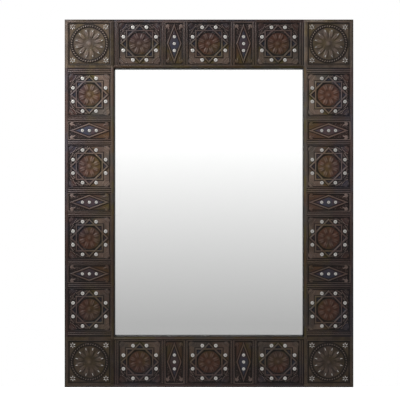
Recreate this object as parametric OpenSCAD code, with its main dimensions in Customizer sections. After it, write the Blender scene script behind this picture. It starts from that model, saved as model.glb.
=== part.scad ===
// Wall mirror with a tooled leather frame.
// Millimetres. The wall is the plane y = 0, the glass faces -Y and +Z is up.
// The origin is the middle of the frame's outline, in the wall plane.

/* [Overall] */
// Width of the finished frame, leather included
outer_w = 628; // [600:1:700]
// Height of the finished frame, leather included
outer_h = 800; // [760:1:900]

/* [Wooden frame] */
// Width of the left and right bands, seen from the front
side_band = 108.5; // [105:0.5:115]
// Width of the top band
top_band = 106.5; // [104:0.5:115]
// Width of the bottom band
bottom_band = 111.5; // [104:0.5:118]
// Thickness of the boards
board_t = 18; // [16:0.5:24]
// How far the lip in front of the glass laps over the glass pocket
lip_w = 9; // [8:0.5:12]
// Rounding of the boards' front edges, under the leather
board_edge_r = 2.4; // [1:0.1:3]
// Diameter of the dowels that join the boards
dowel_d = 8; // [6:0.5:9]
// Length of each dowel
dowel_len = 40; // [30:1:50]
// How far each pair of dowels stands apart
dowel_spacing = 52; // [40:1:60]
// Bevel at each end of a dowel
dowel_chamfer = 0.8; // [0.4:0.1:1.2]
// Space around a dowel or a screw in its hole
hole_gap = 0.05; // [0.02:0.01:0.1]

/* [Leather] */
// Thickness of the leather on the front
leather_t = 2.4; // [2:0.1:3]
// Thickness of the leather where it folds down the sides
flange_t = 1.6; // [1.2:0.1:2]
// Thickness of the leather that is folded on to the back
turnover_t = 1.2; // [0.8:0.1:1.6]
// Width of the leather that is folded on to the back
turnover_w = 16; // [12:0.5:20]
// Thickness of the leather that is folded behind the lip
turnin_t = 1; // [0.6:0.1:1.4]
// Width of the leather that is folded behind the lip
turnin_w = 5; // [3:0.5:7]
// Rounding of the leather at the front edges
edge_r = 4; // [3:0.1:5]

/* [Tooled panels] */
// Side of a square panel
panel_w = 94; // [90:0.5:96]
// Width of a narrow panel
narrow_w = 40; // [38:0.5:42]
// Width of the raised lines round and between the panels
line_w = 2.2; // [1.6:0.1:3]
// Height of the raised lines
line_h = 1; // [0.6:0.1:1.4]
// Width of the straps of the stars and lozenges
strap_w = 3; // [2:0.1:3.4]
// Height of the straps
strap_h = 1.2; // [0.8:0.1:1.6]
// Distance from a star's middle to its points
star_r = 42; // [38:0.5:43]
// Least space beside a panel in its row
row_gap = 5; // [4:0.5:6]
// Radius of a round dot
dot_r = 4.2; // [3:0.1:4.6]
// Height of a round dot
dot_h = 1.5; // [0.8:0.1:1.6]
// Height of the petals and leaves
petal_h = 1.3; // [0.8:0.1:1.6]
// Width of a petal
petal_w = 6; // [5:0.5:7]
// Space between a petal or a dot and what is next to it
petal_gap = 2; // [1.5:0.1:2.5]
// Radius of the boss in the middle of a star
boss_r = 5.4; // [4:0.1:6]
// Height of the bosses
boss_h = 1.6; // [1:0.1:1.8]
// Outer radius of the ring in a corner panel
ring_r = 40; // [38:0.5:41]
// Radius of the quarter ring in each corner of a panel
fan_r = 13; // [9:0.5:14]
// Radius of the dots in a narrow panel
lozenge_dot_r = 3.6; // [3:0.1:4]
// Distance between the dots in a narrow panel
lozenge_dot_step = 15; // [12:0.5:16]

/* [Mirror and its back] */
// Thickness of the glass
glass_t = 4; // [3:0.5:5]
// Thickness of the silver and its paint
silver_t = 0.3; // [0.2:0.1:0.4]
// Thickness of the foam sheet behind the silver
foam_t = 1.2; // [1:0.1:2]
// Thickness of the backing board
backing_t = 3; // [2.5:0.1:4]
// Space between the glass and the side of its pocket
glass_gap = 1.5; // [1:0.1:2.5]
// Space between the backing board and the side of the pocket
board_gap = 1; // [0.5:0.1:1.5]
// Length of each pad between the glass and its pocket
pad_len = 24; // [15:1:40]
// Distance of the pads from the middle of each side
pad_offset = 120; // [90:1:150]

/* [Turn buttons] */
// Distance from a turn button's screw to its tip
button_len = 20; // [17:0.5:24]
// Width of a turn button
button_w = 10; // [9:0.5:12]
// Thickness of a turn button
button_t = 1.2; // [1:0.1:1.6]
// Distance from the glass pocket to a turn button's screw
button_setback = 9; // [8:0.5:10]
// Height of the turn buttons above and below the middle of the opening
button_z = 170; // [130:1:190]
// Distance of the upper and lower turn buttons from the middle
button_x = 110; // [80:1:130]
// Space above and below a turn button
button_gap = 0.2; // [0.1:0.05:0.3]

/* [Screws] */
// Diameter of a screw's shank
screw_d = 3.2; // [2.8:0.1:3.6]
// Length of a screw's shank
screw_len = 13; // [10:0.5:15]
// Diameter of a screw's head
screw_head_d = 6.4; // [5.6:0.1:7]
// Height of a screw's head
screw_head_h = 1.9; // [1.6:0.1:2.2]
// Space round a screw in a piece that it holds
screw_clearance = 0.1; // [0.05:0.05:0.3]
// Length of the slots in a screw's head
screw_slot_len = 3.6; // [3:0.1:4]
// Width of the slots in a screw's head
screw_slot_w = 0.9; // [0.7:0.1:1.1]
// Depth of the slots in a screw's head
screw_slot_depth = 1.1; // [0.8:0.1:1.4]

/* [Hangers] */
// Width of a hanger's strap
hanger_w = 12; // [10:0.5:14]
// Thickness of a hanger's strap
hanger_t = 1.2; // [1:0.1:1.4]
// Length of a strap below its eye
hanger_len = 48; // [44:1:60]
// Height of the hanger's eye above the middle of the frame
hanger_z = 230; // [210:1:260]
// Distance of the strap's first screw from its eye
hanger_screw_1 = 25; // [24:0.5:27]
// Distance of the strap's second screw from its eye
hanger_screw_2 = 40; // [36:0.5:40]
// Diameter of the ring's wire
wire_d = 2.5; // [2:0.1:2.8]
// Radius of the ring's round end, to the middle of the wire
ring_bend_r = 9; // [9:0.5:10]
// Radius of the ring's two upper bends
ring_elbow_r = 2.2; // [1.8:0.1:2.4]
// Length of the ring's straight legs
ring_leg = 5; // [4:0.5:6]
// Space round the wire in the strap's eye
eye_gap = 0.4; // [0.3:0.05:0.5]

/* [Wall bumpers] */
// Height of the rubber bumpers, which sets the frame off the wall
bumper_h = 6; // [6:0.1:8]
// Diameter of a bumper at the frame
bumper_d = 16; // [14:0.5:20]
// Diameter of a bumper at the wall
bumper_tip_d = 13; // [11:0.5:14]
// Distance of the bumpers from the outside of the frame
bumper_inset = 36; // [32:1:45]
// Thickness of the rubber under a bumper's screw
bumper_floor = 2.4; // [2:0.1:3]
// Space round a screw's head in a bumper
bumper_head_gap = 0.4; // [0.2:0.1:0.6]

/* [Tacks] */
// Diameter of a tack's head
tack_d = 5; // [4:0.1:6]
// Height of a tack's head
tack_h = 0.8; // [0.6:0.1:1]
// Diameter of a tack's pin
tack_pin_d = 1.2; // [1:0.1:1.4]
// Length of a tack's pin
tack_len = 8; // [6:0.5:10]
// Distance of the tacks from the outside of the frame
tack_inset = 9; // [8:0.5:11]
// Number of tacks along each tall side
tacks_tall = 11; // [8:1:14]
// Number of tacks along each short side
tacks_short = 8; // [6:1:10]

/* [Hidden] */
$fn = 48;
overlap = 1;
embed = 0.8;

// Planes along Y, from the wall to the front
back_y = -bumper_h;
wood_front_y = back_y - board_t;
leather_y = wood_front_y - leather_t;
pocket_depth = turnin_t + glass_t + silver_t + foam_t + backing_t;
lip_back_y = back_y - pocket_depth;
glass_front_y = lip_back_y + turnin_t;
silver_y = glass_front_y + glass_t;
foam_y = silver_y + silver_t;
backing_y = foam_y + foam_t;
turnover_y = back_y + turnover_t;

// Outlines as [left, bottom, right, top]
outline = [-outer_w / 2, -outer_h / 2, outer_w / 2, outer_h / 2];
opening = grown_sides(outline, -side_band, -bottom_band, -top_band);
wood_outline = grown(outline, -flange_t);
wood_opening = grown(opening, flange_t);
pocket = grown(wood_opening, lip_w);
glass_outline = grown(pocket, -glass_gap);
board_outline = grown(pocket, -board_gap);

opening_mid_z = (opening[1] + opening[3]) / 2;
opening_w = opening[2] - opening[0];
opening_h = opening[3] - opening[1];

// Middles of the four bands
side_x = outline[2] - side_band / 2;
top_z = outline[3] - top_band / 2;
bottom_z = outline[1] + bottom_band / 2;

// Places inside a panel
petal_in = boss_r + petal_gap;
petal_out = star_r / sqrt(2) - strap_w - petal_gap;
dot_at = star_r / sqrt(2) / cos(22.5) + dot_r + petal_gap;
ring_petal_out = ring_r - strap_w - petal_gap;
lozenge_half_w = narrow_w / 2 - line_w - petal_gap;
lozenge_half_h = panel_w / 2 - line_w - petal_gap;

// Turn buttons, from the wood outwards
button_y = back_y + button_gap;
button_head_y = button_y + button_t + button_gap;
button_right = pocket[2] + button_setback;
button_top = pocket[3] + button_setback;
button_bottom = pocket[1] - button_setback;
button_spots = [
    [-button_right, opening_mid_z + button_z, 0],
    [-button_right, opening_mid_z - button_z, 0],
    [button_right, opening_mid_z + button_z, 180],
    [button_right, opening_mid_z - button_z, 180],
    [-button_x, button_top, 90],
    [button_x, button_top, 90],
    [-button_x, button_bottom, -90],
    [button_x, button_bottom, -90]
];

// Hangers
wire_r = wire_d / 2;
eye_r = wire_r + eye_gap;
eye_outer_r = eye_r + hanger_t;
hanger_y = back_y + eye_outer_r;
bar_half = ring_bend_r - ring_elbow_r;

// Wall bumpers, tacks and dowels
bumper_x = outline[2] - bumper_inset;
bumper_z = outline[3] - bumper_inset;
tack_x = outline[2] - tack_inset;
tack_z = outline[3] - tack_inset;
tack_step_tall = 2 * tack_z / tacks_tall;
tack_step_short = 2 * tack_x / tacks_short;
dowel_y = (wood_front_y + back_y) / 2;

// An outline grown by d on every side, and one with its own figure for each side
function grown(o, d) = grown_sides(o, d, d, d);
function grown_sides(o, side, below, above) =
    [o[0] - side, o[1] - below, o[2] + side, o[3] + above];

// A row of square panels with a narrow one between each two
function squares_in(length) =
    floor((length + narrow_w) / (panel_w + narrow_w + 2 * row_gap));
function row_space(length) =
    (length - squares_in(length) * (panel_w + narrow_w) + narrow_w) / (2 * squares_in(length));
function row_middle(length, i) =
    -length / 2 + row_space(length) * (i + 1)
    + panel_w * ceil(i / 2) + narrow_w * floor(i / 2)
    + (i % 2 == 0 ? panel_w : narrow_w) / 2;

// A block from an outline in X and Z, between two planes along Y
module slab(o, y0, y1) {
    translate([o[0], y0, o[1]]) cube([o[2] - o[0], y1 - y0, o[3] - o[1]]);
}

// Lays something drawn in X and Y on the leather, its +Z outwards
module on_leather(x, z) {
    translate([x, leather_y, z]) rotate([90, 0, 0]) children();
}

// Stands something on a plane behind the frame, its +Z towards the wall
module on_back(x, z, y) {
    translate([x, y, z]) rotate([-90, 0, 0]) children();
}

// What a round edge takes off a square one: the corner at the origin, the edge along +Z
module edge_profile(r) {
    difference() {
        translate([-overlap, -overlap]) square(r + overlap);
        translate([r, r]) circle(r);
    }
}

// Takes the front edges off a block with this outline
module round_outside(o, y, r) {
    for (side = [0, 1]) {
        translate([side ? o[2] : o[0], y, o[1] - overlap])
            mirror([side, 0, 0])
                linear_extrude(o[3] - o[1] + 2 * overlap) edge_profile(r);
        translate([o[0] - overlap, y, side ? o[3] : o[1]])
            mirror([0, 0, side])
                rotate([90, 0, 90])
                    linear_extrude(o[2] - o[0] + 2 * overlap) edge_profile(r);
    }
}

// The flare of a round edge: outwards along +X, and from the front inwards along +Y
module flare_profile(r) {
    difference() {
        translate([0, -overlap]) square([r, r + overlap]);
        translate([r, r]) circle(r);
    }
}

// An opening with round front edges, cut through everything behind y
module window_cut(o, y, r) {
    slab(o, y - overlap, overlap);
    for (side = [0, 1]) {
        translate([side ? o[2] : o[0], y, o[1]])
            mirror([1 - side, 0, 0])
                linear_extrude(o[3] - o[1]) flare_profile(r);
        translate([o[0], y, side ? o[3] : o[1]])
            mirror([0, 0, 1 - side])
                rotate([90, 0, 90])
                    linear_extrude(o[2] - o[0]) mirror([1, -1]) flare_profile(r);
        for (top = [0, 1])
            translate([side ? o[2] : o[0], y, top ? o[3] : o[1]])
                mirror([1 - side, 0, 0])
                    mirror([0, 0, 1 - top])
                        rotate([90, 0, 0])
                            rotate_extrude(angle = 90) mirror([0, 1]) flare_profile(r);
    }
}

// The whole wooden frame, before it is cut into its boards and drilled
module wood_blank() {
    difference() {
        slab(wood_outline, wood_front_y, back_y);
        round_outside(wood_outline, wood_front_y, board_edge_r);
        window_cut(wood_opening, wood_front_y, board_edge_r);
        slab(pocket, lip_back_y, back_y + overlap);
    }
}

module dowel_places() {
    for (x = [wood_opening[0], wood_opening[2]], z = [top_z, bottom_z], step = [-0.5, 0.5])
        translate([x, dowel_y, z + step * dowel_spacing]) rotate([0, 90, 0]) children();
}

module tack_places() {
    for (i = [0:tacks_tall - 1], side = [-1, 1])
        translate([side * tack_x, turnover_y, -tack_z + (i + 0.5) * tack_step_tall])
            rotate([-90, 0, 0]) children();
    for (i = [0:tacks_short - 1], side = [-1, 1])
        translate([-tack_x + (i + 0.5) * tack_step_short, turnover_y, side * tack_z])
            rotate([-90, 0, 0]) children();
}

module hanger_screw_places() {
    for (side = [-1, 1], down = [hanger_screw_1, hanger_screw_2])
        on_back(side * side_x, hanger_z - down, back_y + hanger_t) children();
}

module bumper_places(y) {
    for (x = [-bumper_x, bumper_x], z = [-bumper_z, bumper_z]) on_back(x, z, y) children();
}

// Every hole in the wood, each as deep as what goes into it
module wood_holes() {
    dowel_places()
        cylinder(h = dowel_len + 2 * hole_gap, d = dowel_d + 2 * hole_gap, center = true);
    tack_places() pin_hole(tack_pin_d, tack_len, overlap);
    for (s = button_spots)
        on_back(s[0], s[1], button_head_y) pin_hole(screw_d, screw_len, 0);
    hanger_screw_places() pin_hole(screw_d, screw_len, 0);
    bumper_places(back_y + bumper_floor) pin_hole(screw_d, screw_len, 0);
}

// The hole for a pin that goes down from the origin, with its gap
module pin_hole(d, length, above) {
    translate([0, 0, -length - hole_gap])
        cylinder(h = length + hole_gap + above, d = d + 2 * hole_gap);
}

// One board of the frame
module board(o) {
    color("#9c7a4e") difference() {
        intersection() {
            wood_blank();
            slab(o, wood_front_y - overlap, 0);
        }
        wood_holes();
    }
}

module left_stile() {
    board([outline[0], outline[1], wood_opening[0], outline[3]]);
}

module right_stile() {
    board([wood_opening[2], outline[1], outline[2], outline[3]]);
}

module top_rail() {
    board([wood_opening[0], wood_opening[3], wood_opening[2], outline[3]]);
}

module bottom_rail() {
    board([wood_opening[0], outline[1], wood_opening[2], wood_opening[1]]);
}

module corner_dowels() {
    color("#c9a873") dowel_places() {
        cylinder(h = dowel_len - 2 * dowel_chamfer, d = dowel_d, center = true);
        for (end = [0, 1])
            mirror([0, 0, end])
                translate([0, 0, dowel_len / 2 - dowel_chamfer])
                    cylinder(h = dowel_chamfer, d1 = dowel_d, d2 = dowel_d - 2 * dowel_chamfer);
    }
}

// The leather all round, folded over the outside and behind the lip, without its tooling
module leather_blank() {
    difference() {
        slab(outline, leather_y, turnover_y);
        round_outside(outline, leather_y, edge_r);
        window_cut(opening, leather_y, edge_r);
        wood_blank();
        slab(grown(wood_outline, -turnover_w), back_y, overlap);
        slab(pocket, glass_front_y, overlap);
        difference() {
            slab(pocket, lip_back_y, glass_front_y);
            slab(grown(wood_opening, turnin_w), lip_back_y - overlap, glass_front_y);
        }
        tack_places() pin_hole(tack_pin_d, tack_len, overlap);
    }
}

// Raises something flat from the leather, with its foot sunk in
module raised(h) {
    translate([0, 0, -embed]) linear_extrude(embed + h) children();
}

module border(w, h) {
    difference() {
        square([w, h], center = true);
        square([w - 2 * line_w, h - 2 * line_w], center = true);
    }
}

module strap_square(across) {
    difference() {
        square(across, center = true);
        square(across - 2 * strap_w, center = true);
    }
}

// A pointed petal along +X, as two arcs that cross
module petal(from, to, width) {
    length = to - from;
    r = (length * length + width * width) / (4 * width);
    intersection() {
        translate([(from + to) / 2, r - width / 2]) circle(r);
        translate([(from + to) / 2, width / 2 - r]) circle(r);
    }
}

// A ring of petals round a boss
module rosette(count, to, width) {
    raised(boss_h) circle(boss_r);
    for (i = [0:count - 1])
        rotate((i + 0.5) * 360 / count) raised(petal_h) petal(petal_in, to, width);
}

// A quarter ring in each corner of a square panel
module corner_fans() {
    for (turn = [0:90:270])
        rotate(turn) translate([-panel_w / 2, -panel_w / 2]) raised(line_h) intersection() {
            difference() {
                circle(fan_r);
                circle(fan_r - strap_w);
            }
            translate([line_w / 2, line_w / 2]) square(fan_r);
        }
}

module star_panel() {
    raised(line_h) border(panel_w, panel_w);
    raised(strap_h) for (turn = [0, 45]) rotate(turn) strap_square(star_r * sqrt(2));
    rosette(8, petal_out, petal_w);
    for (i = [0:7]) rotate((i + 0.5) * 45) translate([dot_at, 0]) raised(dot_h) circle(dot_r);
    corner_fans();
}

module lozenge_panel() {
    raised(line_h) border(narrow_w, panel_w);
    raised(strap_h) difference() {
        lozenge(lozenge_half_w, lozenge_half_h);
        lozenge(lozenge_half_w - strap_w, lozenge_half_h * (1 - strap_w / lozenge_half_w));
    }
    for (step = [-1, 0, 1])
        translate([0, step * lozenge_dot_step]) raised(dot_h) circle(lozenge_dot_r);
}

module lozenge(half_w, half_h) {
    polygon([[half_w, 0], [0, half_h], [-half_w, 0], [0, -half_h]]);
}

module corner_panel() {
    raised(line_h) border(panel_w, panel_w);
    raised(strap_h) difference() {
        circle(ring_r);
        circle(ring_r - strap_w);
    }
    rosette(12, ring_petal_out, petal_w);
    corner_fans();
}

// The tooling of a stile's cover: a row of panels between two corner panels
module stile_tooling(x) {
    for (z = [bottom_z, top_z]) on_leather(x, z) corner_panel();
    for (i = [0:2 * squares_in(opening_h) - 2])
        on_leather(x, opening_mid_z + row_middle(opening_h, i)) {
            if (i % 2 == 0) star_panel();
            else rotate(90) lozenge_panel();
        }
}

// The tooling of a rail's cover
module rail_tooling(z) {
    for (i = [0:2 * squares_in(opening_w) - 2])
        on_leather(row_middle(opening_w, i), z) {
            if (i % 2 == 0) star_panel();
            else lozenge_panel();
        }
}

// One piece of the leather, between its seams
module cover(o) {
    color("#4a3f38") {
        intersection() {
            leather_blank();
            slab(o, leather_y - overlap, 0);
        }
        children();
    }
}

module left_leather_cover() {
    cover([outline[0], outline[1], opening[0], outline[3]]) stile_tooling(-side_x);
}

module right_leather_cover() {
    cover([opening[2], outline[1], outline[2], outline[3]]) stile_tooling(side_x);
}

module top_leather_cover() {
    cover([opening[0], opening[3], opening[2], outline[3]]) rail_tooling(top_z);
}

module bottom_leather_cover() {
    cover([opening[0], outline[1], opening[2], opening[1]]) rail_tooling(bottom_z);
}

module turnover_tacks() {
    color("#8c7a4a") tack_places() {
        translate([0, 0, -tack_len]) cylinder(h = tack_len, d = tack_pin_d);
        cylinder(h = tack_h, d1 = tack_d, d2 = tack_d - 2 * tack_h);
    }
}

module mirror_glass() {
    color("#c8d4d2") slab(glass_outline, glass_front_y, silver_y);
}

module silver_coat() {
    color("#b9bcbe") slab(glass_outline, silver_y, foam_y);
}

// Pads that keep the glass off the sides of its pocket
module glass_edge_pads() {
    color("#3c3c3c") for (side = [0, 1], step = [-pad_offset, pad_offset]) {
        x = side ? glass_outline[2] : pocket[0];
        z = side ? glass_outline[3] : pocket[1];
        translate([x, glass_front_y, opening_mid_z + step - pad_len / 2])
            cube([glass_gap, glass_t, pad_len]);
        translate([step - pad_len / 2, glass_front_y, z])
            cube([pad_len, glass_t, glass_gap]);
    }
}

module foam_sheet() {
    color("#e4e2da") slab(board_outline, foam_y, backing_y);
}

module backing_board() {
    color("#7a5a3c") slab(board_outline, backing_y, back_y);
}

// A screw with its head on the origin's plane and its shank down from there
module screw() {
    color("#b8a878") difference() {
        union() {
            translate([0, 0, -screw_len]) cylinder(h = screw_len, d = screw_d);
            cylinder(h = screw_head_h / 2, d = screw_head_d);
            translate([0, 0, screw_head_h / 2])
                cylinder(h = screw_head_h / 2, d1 = screw_head_d, d2 = screw_head_d * 0.6);
        }
        for (turn = [0, 90])
            rotate(turn) translate([0, 0, screw_head_h])
                cube([screw_slot_len, screw_slot_w, 2 * screw_slot_depth], center = true);
    }
}

module turn_button_screws() {
    for (s = button_spots) on_back(s[0], s[1], button_head_y) screw();
}

// A turn button at its place, where it points over the backing board
module turn_button(i) {
    spot = button_spots[i];
    color("#a8abae") translate([spot[0], button_y, spot[1]]) rotate([90, spot[2], 0])
        mirror([0, 0, 1]) linear_extrude(button_t) difference() {
            union() {
                circle(d = button_w);
                translate([0, -button_w / 2]) square([button_len - button_w / 2, button_w]);
                translate([button_len - button_w / 2, 0]) circle(d = button_w);
            }
            circle(d = screw_d + 2 * hole_gap);
        }
}

// A strap that lies on a stile, with an eye rolled round the ring at its top
module hanger_strap(side) {
    color("#b9a46a") difference() {
        translate([side * side_x - hanger_w / 2, hanger_y, hanger_z]) rotate([90, 0, 90])
            linear_extrude(hanger_w) difference() {
                union() {
                    circle(eye_outer_r);
                    translate([-eye_outer_r, -hanger_len]) square([hanger_t, hanger_len]);
                }
                circle(eye_r);
            }
        for (down = [hanger_screw_1, hanger_screw_2])
            on_back(side * side_x, hanger_z - down, back_y - overlap)
                cylinder(h = hanger_t + 2 * overlap, d = screw_d + 2 * screw_clearance);
    }
}

module hanger_screws() {
    hanger_screw_places() screw();
}

// A D-shaped ring that hangs from its straight bar, which lies along X
module hanging_ring(side) {
    color("#b9a46a") translate([side * side_x, hanger_y, hanger_z]) {
        rotate([0, 90, 0]) cylinder(h = 2 * bar_half, d = wire_d, center = true);
        for (end = [0, 1]) mirror([end, 0, 0]) {
            translate([bar_half, 0, -ring_elbow_r]) rotate([90, 0, 0])
                rotate_extrude(angle = 90) translate([ring_elbow_r, 0]) circle(d = wire_d);
            translate([ring_bend_r, 0, -ring_elbow_r - ring_leg])
                cylinder(h = ring_leg, d = wire_d);
        }
        translate([0, 0, -ring_elbow_r - ring_leg]) rotate([-90, 0, 0])
            rotate_extrude(angle = 180) translate([ring_bend_r, 0]) circle(d = wire_d);
    }
}

module wall_bumpers() {
    color("#2c2c2e") bumper_places(back_y) difference() {
        cylinder(h = bumper_h, d1 = bumper_d, d2 = bumper_tip_d);
        translate([0, 0, bumper_floor]) cylinder(h = bumper_h, d = screw_head_d + 2 * bumper_head_gap);
        translate([0, 0, -overlap]) cylinder(h = bumper_h, d = screw_d + 2 * screw_clearance);
    }
}

module bumper_screws() {
    bumper_places(back_y + bumper_floor) screw();
}

left_stile();
right_stile();
top_rail();
bottom_rail();
corner_dowels();
left_leather_cover();
right_leather_cover();
top_leather_cover();
bottom_leather_cover();
turnover_tacks();
mirror_glass();
silver_coat();
glass_edge_pads();
foam_sheet();
backing_board();
turn_button_screws();
turn_button(0);  // turn_button_left_upper
turn_button(1);  // turn_button_left_lower
turn_button(2);  // turn_button_right_upper
turn_button(3);  // turn_button_right_lower
turn_button(4);  // turn_button_top_left
turn_button(5);  // turn_button_top_right
turn_button(6);  // turn_button_bottom_left
turn_button(7);  // turn_button_bottom_right
hanger_strap(-1);  // left_hanger_strap
hanger_strap(1);  // right_hanger_strap
hanging_ring(-1);  // left_hanging_ring
hanging_ring(1);  // right_hanging_ring
hanger_screws();
wall_bumpers();
bumper_screws();
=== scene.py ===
from functools import partial
from math import atan2, cos, hypot, pi, radians, sin, sqrt
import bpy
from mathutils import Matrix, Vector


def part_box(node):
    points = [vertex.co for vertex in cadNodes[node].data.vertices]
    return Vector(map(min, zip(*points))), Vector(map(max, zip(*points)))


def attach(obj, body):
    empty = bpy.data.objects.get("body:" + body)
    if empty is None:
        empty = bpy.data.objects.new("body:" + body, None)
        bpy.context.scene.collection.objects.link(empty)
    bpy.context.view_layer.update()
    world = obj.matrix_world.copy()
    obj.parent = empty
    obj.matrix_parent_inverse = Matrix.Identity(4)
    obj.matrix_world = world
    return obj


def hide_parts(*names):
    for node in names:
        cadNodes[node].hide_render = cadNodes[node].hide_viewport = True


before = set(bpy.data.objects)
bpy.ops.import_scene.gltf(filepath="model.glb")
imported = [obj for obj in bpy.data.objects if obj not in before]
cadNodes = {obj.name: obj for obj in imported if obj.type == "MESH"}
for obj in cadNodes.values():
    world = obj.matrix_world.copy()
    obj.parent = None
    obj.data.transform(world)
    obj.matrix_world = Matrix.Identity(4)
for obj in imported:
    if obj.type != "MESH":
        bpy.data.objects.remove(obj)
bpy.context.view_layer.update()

from types import SimpleNamespace as Values

import bpy
from mathutils import Vector

# Wall mirror with a tooled leather frame. Metres; the glass faces -Y and +Z is up.
mm = 0.001
print("frame loaded")


# Places that everything else is measured from

sides = {}
for side in ("left", "right", "top", "bottom"):
    sides[side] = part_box(side + "_leather_cover")
toolingHeight = 1.6 * mm  # from the plain leather to the tallest tooling
leatherY = sides["left"][0].y + toolingHeight + 0.01 * mm
outerX = sides["right"][1].x
outerTop = sides["top"][1].z
openX = sides["right"][0].x
openTop, openBottom = sides["top"][0].z, sides["bottom"][1].z
openMidZ = (openTop + openBottom) / 2
openHalfZ = (openTop - openBottom) / 2
bandX = (outerX + openX) / 2
bandTop = (outerTop + openTop) / 2
bandBottom = (sides["bottom"][0].z + openBottom) / 2
glassLow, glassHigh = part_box("mirror_glass")
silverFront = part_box("silver_coat")[0].y


# Small helpers

def only(*objects):
    bpy.ops.object.select_all(action="DESELECT")
    for obj in objects:
        obj.select_set(True)
    bpy.context.view_layer.objects.active = objects[0]


def enter(mode):
    bpy.ops.object.mode_set(mode=mode)


def pickAll(action="SELECT"):
    bpy.ops.mesh.select_all(action=action)


def active():
    return bpy.context.active_object


def settle(obj):  # the object's place, turn and size go into its mesh
    only(obj)
    bpy.ops.object.transform_apply(location=True, rotation=True, scale=True)
    return obj


def shaped(place, size, turn=(0, 0, 0)):  # the unit form that was just added
    obj = active()
    obj.location, obj.scale, obj.rotation_euler = place, size, turn
    return settle(obj)


def twinOf(obj, name, place=(0, 0, 0), turn=(0, 0, 0), size=(1, 1, 1)):
    twin = bpy.data.objects.new(name, obj.data.copy())
    bpy.context.collection.objects.link(twin)
    twin.location, twin.rotation_euler, twin.scale = place, turn, size
    return twin


def joined(objects, name):
    settle(objects[0])
    only(*objects)
    if len(objects) > 1:
        bpy.ops.object.join()
    whole = active()
    whole.name = name
    whole.data.name = name
    return whole


def pick(obj, kind, test):  # selects in edit mode the faces or points that pass a test
    bpy.ops.mesh.select_mode(type=kind)
    pickAll("DESELECT")
    enter("OBJECT")
    for element in obj.data.polygons if kind == "FACE" else obj.data.vertices:
        element.select = test(element)
    enter("EDIT")


def facesFront(face):
    return face.normal.y < -0.9  # nearly square to -Y


def withModifier(obj, kind, **values):
    only(obj)
    modifier = obj.modifiers.new(kind.lower(), kind)
    for key, value in values.items():
        setattr(modifier, key, value)
    bpy.ops.object.modifier_apply(modifier=modifier.name)
    return obj


def triangles(obj):
    return sum(len(face.vertices) - 2 for face in obj.data.polygons)


def polar(distance, angle):
    return distance * cos(angle), distance * sin(angle)


def around(count):  # angles evenly round the circle
    return [(i + 0.5) * 2 * pi / count for i in range(count)]


corners = [(sx, sz) for sx in (-1, 1) for sz in (-1, 1)]


# Forms of the tooling, each round the origin with the leather's plain surface at y = 0

tooling = Values(
    square=94 * mm,
    narrow=40 * mm,
    border=2.4 * mm,
    borderHeight=1.1 * mm,
    groundHeight=0.2 * mm,
    sunk=0.9 * mm,  # how far a panel's foot goes into the leather
    voxel=0.45 * mm,
    smoothing=(0.5, 2),  # factor and rounds
    cutShare=0.8,  # where a panel's foot is cut flat, as a share of sunk
    keep=0.205,  # share of a pressed panel's faces that stay
)


fieldHalf = tooling.square / 2 - tooling.border  # of a square panel inside its border


def panelBlank(width, height=tooling.square):  # a panel's ground inside its raised border
    v = tooling
    depth = v.sunk + v.borderHeight
    bpy.ops.mesh.primitive_cube_add(size=1)
    blank = shaped((0, v.sunk - depth / 2, 0), (width, depth, height))
    enter("EDIT")
    pick(blank, "FACE", facesFront)
    bpy.ops.mesh.inset(thickness=v.border)
    bpy.ops.transform.translate(value=(0, v.borderHeight - v.groundHeight, 0))
    enter("OBJECT")
    return blank


def strapRing(corners, radius, width, height, turn=0):  # width 0 gives a plate
    bpy.ops.mesh.primitive_circle_add(
        vertices=corners, radius=radius, fill_type="NGON",
        location=(0, tooling.sunk, 0), rotation=(pi / 2, turn, 0))
    ring = settle(active())
    enter("EDIT")
    pickAll()
    if width:
        bpy.ops.mesh.inset(thickness=width)
        bpy.ops.mesh.delete(type="FACE")
        pickAll()
    bpy.ops.mesh.extrude_region_move(
        TRANSFORM_OT_translate={"value": (0, -tooling.sunk - height, 0)})
    pickAll()
    bpy.ops.mesh.normals_make_consistent(inside=False)
    enter("OBJECT")
    return ring


lobeForm = Values(segments=16, rings=10, tip=0.12, tipBand=0.001)  # of a sphere 1 across


def makeLobe():  # a unit oval with its two tips pulled out, long in Z
    v = lobeForm
    bpy.ops.mesh.primitive_uv_sphere_add(segments=v.segments, ring_count=v.rings, radius=0.5)
    lobe = active()
    enter("EDIT")
    for end in (-1, 1):
        pick(lobe, "VERT", lambda point, end=end: point.co.z * end > 0.5 - v.tipBand)
        bpy.ops.transform.translate(value=(0, 0, end * v.tip))
    enter("OBJECT")
    lobe.scale = (1, 1, 1 / (1 + 2 * v.tip))
    return settle(lobe)


plainLobe = makeLobe()


def lobeAt(x, z, angle, length, width, height, y=0):
    size = (width, 2 * height, length)
    return twinOf(plainLobe, "lobe", (x, y, z), (0, pi / 2 - angle, 0), size)


def bossAt(x, z, radius, height):
    size = (2 * radius, 2 * radius, 2 * height)
    return twinOf(plainLobe, "boss", (x, 0, z), (pi / 2, 0, 0), size)


def dotSeats(panel, places):  # low mounds under the silver dots
    past, height = panel.dotSeat
    return [bossAt(x, z, panel.dotRadius + past, height) for x, z in places]


petalForm = Values(lobeApart=0.2, lobeWidth=0.56, lean=0.07)  # shares of the width, and radians


def petals(count, start, end, width, height):  # each has two lobes with a vein between them
    v = petalForm
    made = []
    for angle in around(count):
        for half in (-1, 1):
            x, z = polar((start + end) / 2, angle)
            dx, dz = polar(half * width * v.lobeApart, angle + pi / 2)
            lean = angle + half * v.lean
            made.append(lobeAt(x + dx, z + dz, lean, end - start, width * v.lobeWidth, height))
    return made


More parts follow.
